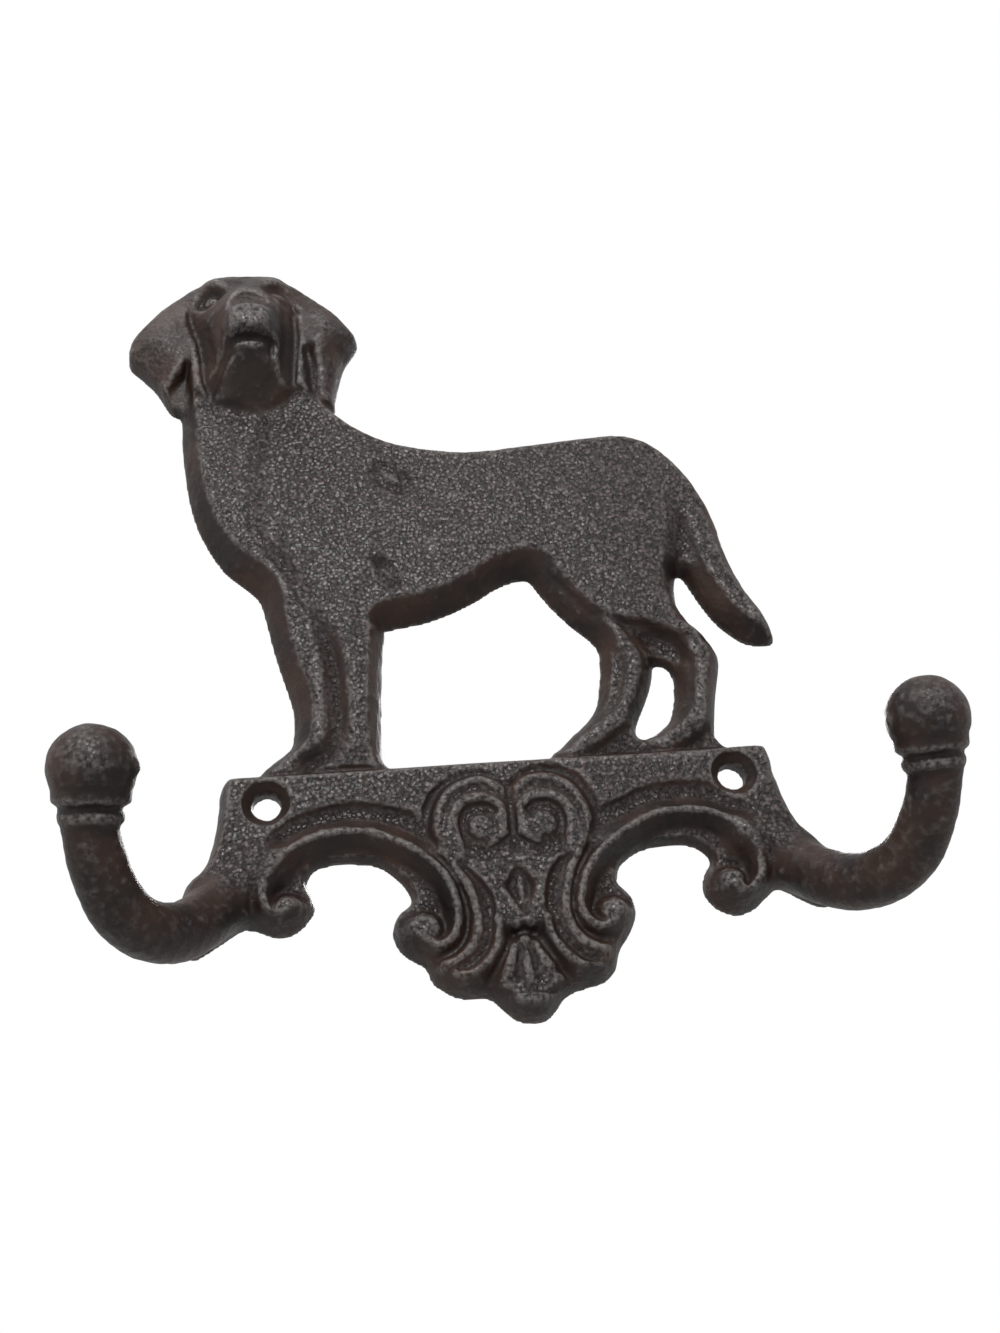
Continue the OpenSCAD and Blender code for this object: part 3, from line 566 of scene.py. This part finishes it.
# %% Surface nets
def skin_of(field):
    """Vertices and quads of the level zero: one vertex a crossed cell, the mean of its edges' crossings,
    where an edge from a to b is crossed at a / (a - b), and one quad a crossed edge, turned to face out."""
    inside = field < 0
    cells = tuple(n - 1 for n in field.shape)
    corners = list(np.ndindex(2, 2, 2))
    count_in = inside.astype(np.uint8)
    full = sum(count_in[i:i + cells[0], j:j + cells[1], k:k + cells[2]] for i, j, k in corners)
    place = np.argwhere((full > 0) & (full < 8))
    number = np.full(cells, -1, np.int32)
    number[tuple(place.T)] = np.arange(len(place))
    value = np.stack([field[tuple((place + corner).T)] for corner in corners], axis=1)
    total, count = np.zeros((len(place), 3)), np.zeros(len(place))
    for a in range(8):
        for b in range(a + 1, 8):
            step = np.subtract(corners[b], corners[a])
            if np.abs(step).sum() == 1:
                hit = (value[:, a] < 0) != (value[:, b] < 0)
                t = np.where(hit, value[:, a] / np.where(hit, value[:, a] - value[:, b], 1.0), 0.0)
                total += hit[:, None] * (np.array(corners[a]) + t[:, None] * step)
                count += hit
    points = place + total / count[:, None]
    quads = []
    for axis in range(3):
        one, two = [(1, 2), (2, 0), (0, 1)][axis]
        start, stop = [slice(1, -1)] * 3, [slice(1, -1)] * 3
        start[axis], stop[axis] = slice(0, -1), slice(1, None)
        a, b = inside[tuple(start)], inside[tuple(stop)]
        at = np.argwhere(a != b) + np.array([0 if i == axis else 1 for i in range(3)])
        out = a[a != b]
        ring = []
        for back_one, back_two in ((1, 1), (0, 1), (0, 0), (1, 0)):
            cell = at.copy()
            cell[:, one] -= back_one
            cell[:, two] -= back_two
            ring.append(number[tuple(cell.T)])
        ring = np.stack(ring, axis=1)
        quads.append(np.where(out[:, None], ring, ring[:, ::-1]))
    return points, np.concatenate(quads)


points, quads = skin_of(solid)
points = np.array([x_line[0], d_line[0], z_line[0]]) + points * pitch
points[:, 1] *= -1
quads = quads[:, ::-1]
print("skin", len(points), "points,", len(quads), "quads", round(time.time() - began, 1), "s")


# %% A mesh from arrays, thinned on its flats
def mesh_of(name, points, faces):
    """A mesh from an array of points in mm and an array of faces with the same number of corners each."""
    mesh = bpy.data.meshes.new(name)
    mesh.vertices.add(len(points))
    mesh.vertices.foreach_set("co", (points * 0.001).astype(np.float32).ravel())
    mesh.loops.add(faces.size)
    mesh.loops.foreach_set("vertex_index", faces.astype(np.int32).ravel())
    mesh.polygons.add(len(faces))
    mesh.polygons.foreach_set("loop_start", np.arange(0, faces.size, faces.shape[1], dtype=np.int32))
    mesh.update(calc_edges=True)
    mesh.validate()
    return mesh


def thinned(name, mesh, most):
    """A copy of the mesh with about that many triangles at most: the edges that change the shape least are
    collapsed first."""
    rough = bpy.data.objects.new(name, mesh)
    scene.collection.objects.link(rough)
    count = sum(len(p.vertices) - 2 for p in mesh.polygons)
    if count > most:
        thin = rough.modifiers.new("thin", "DECIMATE")
        thin.ratio = most / count
        thin.use_collapse_triangulate = True
    result = bpy.data.meshes.new_from_object(rough.evaluated_get(bpy.context.evaluated_depsgraph_get()))
    bpy.data.objects.remove(rough)
    return result


most_triangles = 192000
skin = thinned("casting_rough", mesh_of("casting_rough", points, quads), most_triangles)
print("thinned to", len(skin.polygons), "faces", round(time.time() - began, 1), "s")


# %% [markdown]
# ## Cast surface
# Sand leaves low waves on the iron that change how light runs over it. They are value noise:
# random numbers on a coarse lattice, eased between. The same arrays give each vertex what the
# finish needs: how far it stands proud of its surroundings, where paint wears and proud lines take
# a painted highlight, and how much it faces forward, where the plateaus are grainy and catch the
# light, their grey partly grain and partly a painted sheen. The underside of the jaw is darkened as
# painted shade, and the arms are darker, the right one more as painted shade. Most of the head is
# smoother than the body, and the nose and the left eye are rubbed bright.

# %% Waves of the sand mould
def waves(p, size, seed):
    """Value noise from -1 to 1: random numbers on a lattice of that size in mm, blended by 3t^2 - 2t^3."""
    count = 64
    table = np.random.default_rng(seed).uniform(-1, 1, (count, count, count))
    q = p / size
    base = np.floor(q).astype(int)
    t = q - base
    t = t * t * (3 - 2 * t)
    total = np.zeros(len(p))
    for corner in np.ndindex(2, 2, 2):
        share = np.prod(np.where(corner, t, 1 - t), axis=1)
        total += share * table[tuple(((base + corner) % count).T)]
    return total


spots = np.empty(len(skin.vertices) * 3, np.float32)
skin.vertices.foreach_get("co", spots)
spots = spots.reshape(-1, 3).astype(float) * 1000
facing = np.empty(len(skin.vertices) * 3, np.float32)
skin.vertex_normals.foreach_get("vector", facing)
facing = facing.reshape(-1, 3).astype(float)
off_wall = ease(-spots[:, 1], 0.05, 0.8)
lift = 0.10 * waves(spots, 3.1, 3) + 0.07 * waves(spots, 1.5, 5) + 0.045 * waves(spots, 0.9, 8)
spots = spots + facing * (lift * off_wall)[:, None]
box_mm, inset = np.array(cad_box) * 1000, 0.02
spots = np.clip(spots, box_mm[0] + inset, box_mm[1] - np.array([inset, 0.0, inset]))
print("waves", round(float(np.abs(lift).max()), 2), "mm at most")

# %% Proud and sunken places, and painted shade
edges = np.empty(len(skin.edges) * 2, np.int32)
skin.edges.foreach_get("vertices", edges)
edges = edges.reshape(-1, 2)
both = np.concatenate([edges, edges[:, ::-1]])
neighbours = np.bincount(both[:, 0], minlength=len(spots))[:, None]


def relaxed(values, times):
    """Each vertex takes the mean of its neighbours, that many times."""
    for _ in range(times):
        values = np.stack([np.bincount(both[:, 0], weights=values[both[:, 1], i], minlength=len(values))
                           for i in range(values.shape[1])], axis=1) / neighbours
    return values


proud_fine = ((spots - relaxed(spots, 4)) * facing).sum(axis=1)
proud_wide = ((spots - relaxed(spots, 22)) * facing).sum(axis=1)
# share facing forward: grainy grey flats, partly a grainy finish and partly a painted sheen
front = ease(-relaxed(facing, 2)[:, 1], 0.78, 0.96)
smooth_head = within([(-75, 90), (-59.5, 90), (-55, 92.8), (-51.7, 90.7), (-42.1, 87.5), (-37.5, 89.7),
                      (-34, 93), (-27, 90), (-15, 95), (-15, 130), (-75, 130)], smooth=False)
rough_places = [(-43.4, 104.5, 4.2, 4.5), (-51.9, 117, 2.9, 2.6), (-37.3, 117, 2.2, 2.2),
                (-63.9, 103.4, 3.2, 3), (-30.3, 97.5, 2.2, 4), (-27, 112, 3, 5)]
rough_patches = sum(hill(*patch) for patch in rough_places)
polish = ease(-smooth_head, -0.5, 1.2) * (1 - np.minimum(rough_patches, 1)) * 0.85
column = np.clip(np.rint((spots[:, 0] - x_line[0]) / pitch).astype(int), 0, len(x_line) - 1)
row = np.clip(np.rint((spots[:, 2] - z_line[0]) / pitch).astype(int), 0, len(z_line) - 1)
# the arms' fronts are darker, the right arm more: the right arm's extra darkness is painted shade
arm_dark_and_painted_shade = np.where(spots[:, 0] > 0, 0.65, 0.25) * ease(np.abs(spots[:, 0]), 54, 60)
front = front * (1 - polish[column, row]) * (1 - arm_dark_and_painted_shade)
nose_x, nose_z, left_eye_x, left_eye_z = -43.4, 105.0, -51.8, 117
rub = np.exp(-((spots[:, 0] - nose_x) / 3.9) ** 8 - ((spots[:, 2] - nose_z) / 3.6) ** 8) * (spots[:, 1] < -15)
to_eye = np.hypot((spots[:, 0] - left_eye_x) / 1.1, spots[:, 2] - left_eye_z)
rub = rub + 0.75 * np.exp(-(to_eye / 2.3) ** 4)
# painted shade under the jaw, where the head's underside faces down, and a darker patch round the left eye
jaw_shade = within([(-54, 93), (-47.5, 99), (-40, 99), (-34.6, 93.5), (-42.1, 88)], smooth=False)
painted_jaw_shade_and_eye_dark = 0.3 * ease(-jaw_shade, -0.5, 3.5) + 0.14 * hill(left_eye_x, left_eye_z, 2.8, 2.5)
flat_back = spots[:, 1] > -0.1
proud_fine[flat_back] = proud_wide[flat_back] = 0.0
print("proud from", proud_wide.min().round(2), "to", proud_wide.max().round(2), "mm")

# %% The finished casting
skin.vertices.foreach_set("co", (spots * 0.001).astype(np.float32).ravel())
skin.update()
skin.shade_smooth()
skin.set_sharp_from_angle(angle=0.9)
crest = 0.5 + 1.6 * proud_fine + 0.24 * rub
# the painted shade lowers rise under the jaw, so the jaw takes the brown of the hollows
rise = 0.5 + 0.45 * proud_wide - painted_jaw_shade_and_eye_dark[column, row]
for name, values in (("crest", crest), ("rise", rise), ("front", front)):
    layer = skin.attributes.new(name, "FLOAT", "POINT")
    layer.data.foreach_set("value", np.clip(values, 0, 1).astype(np.float32))
casting = bpy.data.objects.new("cast_hound_hook", skin)
scene.collection.objects.link(casting)
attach(casting, "root")
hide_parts("hook_casting")
print("casting", len(skin.vertices), "vertices,", len(skin.polygons), "faces")

# %% [markdown]
# ## The iron's finish
# The paint is a thin brown-black over grainy iron. Flat fronts are coarse and glint grey; their
# grey is partly grain and partly a painted sheen, with less of it on the arms, the right one darker as
# painted shade. Bevels, hollows and most of the head are smoother and browner, and the underside of
# the jaw takes the same brown as painted shade. Proud lines are paler, partly wear and partly a
# painted highlight, and the nose and one eye are rubbed paler. Pebbles of just under a millimetre with
# a finer grain over them make the bumps, about a quarter of a millimetre deep, and the vertex values
# mix the colours.

# %% Helpers for the node tree
iron = bpy.data.materials.new("cast_iron_brown_black")
iron.use_nodes = True
tree = iron.node_tree
nodes, links = tree.nodes, tree.links
shader = nodes["Principled BSDF"]


def node(kind, **settings):
    """A node of that kind: names that it has as properties are set, the others are input sockets."""
    made = nodes.new(kind)
    for key, value in settings.items():
        if hasattr(made, key):
            setattr(made, key, value)
        else:
            made.inputs[key.replace("_", " ")].default_value = value
    return made


def value_of(name):
    """The output of a vertex attribute."""
    return node("ShaderNodeAttribute", attribute_name=name).outputs["Fac"]


def span(source, low, high, to_low=0.0, to_high=1.0):
    """low..high on the source becomes to_low..to_high, held beyond."""
    made = node("ShaderNodeMapRange")
    links.new(source, made.inputs["Value"])
    for key, value in (("From Min", low), ("From Max", high), ("To Min", to_low), ("To Max", to_high)):
        made.inputs[key].default_value = value
    return made.outputs["Result"]


def sum_of(a, b, how="ADD"):
    """Two values put together by one math node."""
    made = node("ShaderNodeMath", operation=how)
    for i, source in enumerate((a, b)):
        if isinstance(source, float):
            made.inputs[i].default_value = source
        else:
            links.new(source, made.inputs[i])
    return made.outputs[0]


def mixed(share, first, second):
    """A colour between two, by a share from 0 to 1."""
    made = node("ShaderNodeMix", data_type="RGBA")
    links.new(share, made.inputs[0])
    for slot_number, colour in ((6, first), (7, second)):
        if isinstance(colour, tuple):
            made.inputs[slot_number].default_value = (*colour, 1)
        else:
            links.new(colour, made.inputs[slot_number])
    return made.outputs[2]


# %% Grain, pits and blotches
place = node("ShaderNodeTexCoord").outputs["Object"]


def grain(scale, detail, rough=0.55):
    """Noise on the object's own coordinates, in cells of about 1/scale metres."""
    made = node("ShaderNodeTexNoise", Scale=scale, Detail=detail, Roughness=rough)
    links.new(place, made.inputs["Vector"])
    return made.outputs["Fac"]


coarse, fine, blotch = grain(1150.0, 3.0, 0.55), grain(3200.0, 2.0), grain(95.0, 4.0)
swirl = node("ShaderNodeMix", data_type="VECTOR", Factor=0.0006)
links.new(place, swirl.inputs[4])
links.new(node("ShaderNodeTexNoise", Scale=900.0).outputs["Color"], swirl.inputs[5])
pebbles = node("ShaderNodeTexVoronoi", feature="F1", Scale=1150.0)
links.new(swirl.outputs[1], pebbles.inputs["Vector"])
crack = span(pebbles.outputs["Distance"], 0.35, 0.75)
front_share, crest_share, rise_and_shade_share = value_of("front"), value_of("crest"), value_of("rise")
print("grain of about 0.9 and 0.3 mm, blotches of about 10 mm")

# %% Colour
brown_black, warm_brown = (0.0066, 0.0040, 0.0032), (0.0265, 0.0130, 0.0088)
dark_stone, grey_stone = (0.0085, 0.0060, 0.0055), (0.088, 0.070, 0.065)
# the brown of the hollows, also used as painted shade under the jaw
crack_black, hollow_and_shade_brown = (0.0045, 0.0033, 0.0030), (0.0090, 0.0048, 0.0034)
# pale grey of wear, also used as painted highlights on proud lines
rubbed_and_highlight_grey = (0.120, 0.110, 0.105)
ground = mixed(span(blotch, 0.38, 0.66), brown_black, warm_brown)
stony = mixed(span(coarse, 0.36, 0.64), dark_stone, grey_stone)
plateau = mixed(crack, stony, crack_black)
# the grey plateau colour goes where the surface faces forward: partly grain, partly a painted sheen
painted = mixed(front_share, ground, plateau)
# brown in the hollows, and under the jaw as painted shade
hollow_and_shade = mixed(span(rise_and_shade_share, 0.28, 0.46), hollow_and_shade_brown, painted)
# proud lines paler, partly wear and partly a painted highlight; the nose and one eye rubbed
wear_and_highlight = sum_of(span(crest_share, 0.56, 0.72), span(coarse, 0.34, 0.60), "MULTIPLY")
colour = mixed(sum_of(wear_and_highlight, 0.75, "MULTIPLY"), hollow_and_shade, rubbed_and_highlight_grey)
links.new(colour, shader.inputs["Base Color"])
print("colours linked")

# %% Gloss and bumps
gloss = span(sum_of(front_share, span(fine, 0.35, 0.65, -0.5, 0.5)), -0.5, 1.5, 0.58, 0.24)
links.new(gloss, shader.inputs["Roughness"])
shader.inputs["Specular IOR Level"].default_value = 0.19
shader.inputs["Metallic"].default_value = 0.0
strength = span(front_share, 0.0, 1.0, 0.24, 1.0)
pebble_bump = node("ShaderNodeBump", Distance=0.00024)
links.new(strength, pebble_bump.inputs["Strength"])
links.new(sum_of(coarse, sum_of(crack, 0.7, "MULTIPLY"), "SUBTRACT"), pebble_bump.inputs["Height"])
fine_bump = node("ShaderNodeBump", Distance=0.00003, Strength=0.7)
links.new(fine, fine_bump.inputs["Height"])
links.new(pebble_bump.outputs["Normal"], fine_bump.inputs["Normal"])
links.new(fine_bump.outputs["Normal"], shader.inputs["Normal"])
skin.materials.clear()
skin.materials.append(iron)
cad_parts["hook_casting"].data.materials.clear()
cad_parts["hook_casting"].data.materials.append(iron)
print("iron has", len(nodes), "nodes")

# %% [markdown]
# ## Camera, floor and light
# The photograph was taken from a little below and to the left, against white. The camera has
# the place and the focal length worked out from the casting's own points. Four soft lamps stand
# in front, above, at the left and behind. The world is white to the camera and to reflections,
# so that the iron mirrors a bright room, and weak to everything else. The floor under the hook
# is pale to the camera in the same way, and it keeps the hook's shadow.

# %% The camera
camera = bpy.data.objects.new("camera", bpy.data.cameras.new("camera"))
scene.collection.objects.link(camera)
right, down = (0.99096, -0.08197, -0.10622), (-0.05489, 0.47474, -0.87842)
ahead = (0.12243, 0.87630, 0.46594)
stands = (-0.0338, -0.2605, -0.1103)
camera.matrix_world = Matrix([(right[i], -down[i], -ahead[i], stands[i]) for i in range(3)] + [(0, 0, 0, 1)])
camera.data.lens, camera.data.sensor_width, camera.data.clip_start = 40.51, 36.0, 0.01
scene.camera = camera
print("camera at", [round(c, 4) for c in camera.matrix_world.translation])

# %% What the camera and reflections see
def is_seen(nodes, links):
    """1 for a ray from the camera, through glass or off a gloss, and 0 for light: the largest of three."""
    ray = nodes.new("ShaderNodeLightPath")
    seen = ray.outputs["Is Camera Ray"]
    for kind in ("Is Transmission Ray", "Is Glossy Ray"):
        larger = nodes.new("ShaderNodeMath")
        larger.operation = "MAXIMUM"
        links.new(seen, larger.inputs[0])
        links.new(ray.outputs[kind], larger.inputs[1])
        seen = larger.outputs[0]
    return seen


# %% The floor
reach, floor_z = 12.0, -0.17
corners = [(x * reach, y * reach, floor_z) for x, y in ((-1, -1), (1, -1), (1, 1), (-1, 1))]
floor_mesh = bpy.data.meshes.new("floor")
floor_mesh.from_pydata(corners, [], [(0, 1, 2, 3)])
floor = bpy.data.objects.new("floor", floor_mesh)
scene.collection.objects.link(floor)
paper = bpy.data.materials.new("pale_floor")
paper.use_nodes = True
paper_nodes, paper_links = paper.node_tree.nodes, paper.node_tree.links
tone = paper_nodes.new("ShaderNodeMix")
tone.data_type = "RGBA"
tone.inputs[6].default_value, tone.inputs[7].default_value = (0, 0, 0, 1), (0.72, 0.72, 0.715, 1)
paper_links.new(is_seen(paper_nodes, paper_links), tone.inputs[0])
pale = paper_nodes["Principled BSDF"]
paper_links.new(tone.outputs[2], pale.inputs["Emission Color"])
pale.inputs["Emission Strength"].default_value = 1.0
pale.inputs["Base Color"].default_value = (0.32, 0.32, 0.315, 1)
pale.inputs["Roughness"].default_value = 0.9
floor_mesh.materials.append(paper)
print("floor", round(-floor_z * 1000), "mm under the screw holes")


# %% Lamps
def lamp(name, at, towards, size, power):
    """A square soft lamp at a place, in metres, turned to another: its -Z axis runs from one to the other."""
    data = bpy.data.lights.new(name, "AREA")
    data.shape, data.size, data.energy = "SQUARE", size, power
    made = bpy.data.objects.new(name, data)
    scene.collection.objects.link(made)
    back = np.subtract(at, towards) / np.linalg.norm(np.subtract(at, towards))
    side = np.cross((0, 0, 1), back)
    side /= np.linalg.norm(side)
    top = np.cross(back, side)
    made.matrix_world = Matrix([(side[i], top[i], back[i], at[i]) for i in range(3)] + [(0, 0, 0, 1)])
    return made


lamp("front_soft", (-0.05, -0.85, 0.50), (0, 0, 0.04), 0.13, 11.8)
lamp("top_soft", (-0.35, -0.25, 0.90), (0, 0, 0.04), 0.22, 2.6)
lamp("left_fill", (-0.9, -0.45, 0.05), (0, 0, 0.03), 0.2, 1.5)
lamp("back_soft", (0.30, 0.90, 0.45), (0, 0, 0.04), 0.3, 6.0)
print("four soft lamps")

# %% The world
world = bpy.data.worlds.new("studio")
scene.world = world
world.use_nodes = True
world_nodes, world_links = world.node_tree.nodes, world.node_tree.links
backdrop = world_nodes["Background"]
backdrop.inputs["Color"].default_value = (1, 1, 1, 1)
level = world_nodes.new("ShaderNodeMapRange")
level.inputs["To Min"].default_value, level.inputs["To Max"].default_value = 0.15, 1.0
world_links.new(is_seen(world_nodes, world_links), level.inputs["Value"])
world_links.new(level.outputs["Result"], backdrop.inputs["Strength"])
scene.view_settings.view_transform = "Standard"
print("world white to the camera and to reflections, 0.15 to the rest")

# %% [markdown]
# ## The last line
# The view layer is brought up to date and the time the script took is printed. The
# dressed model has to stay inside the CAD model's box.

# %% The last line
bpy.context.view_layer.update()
print("script", round(time.time() - began, 1), "s")
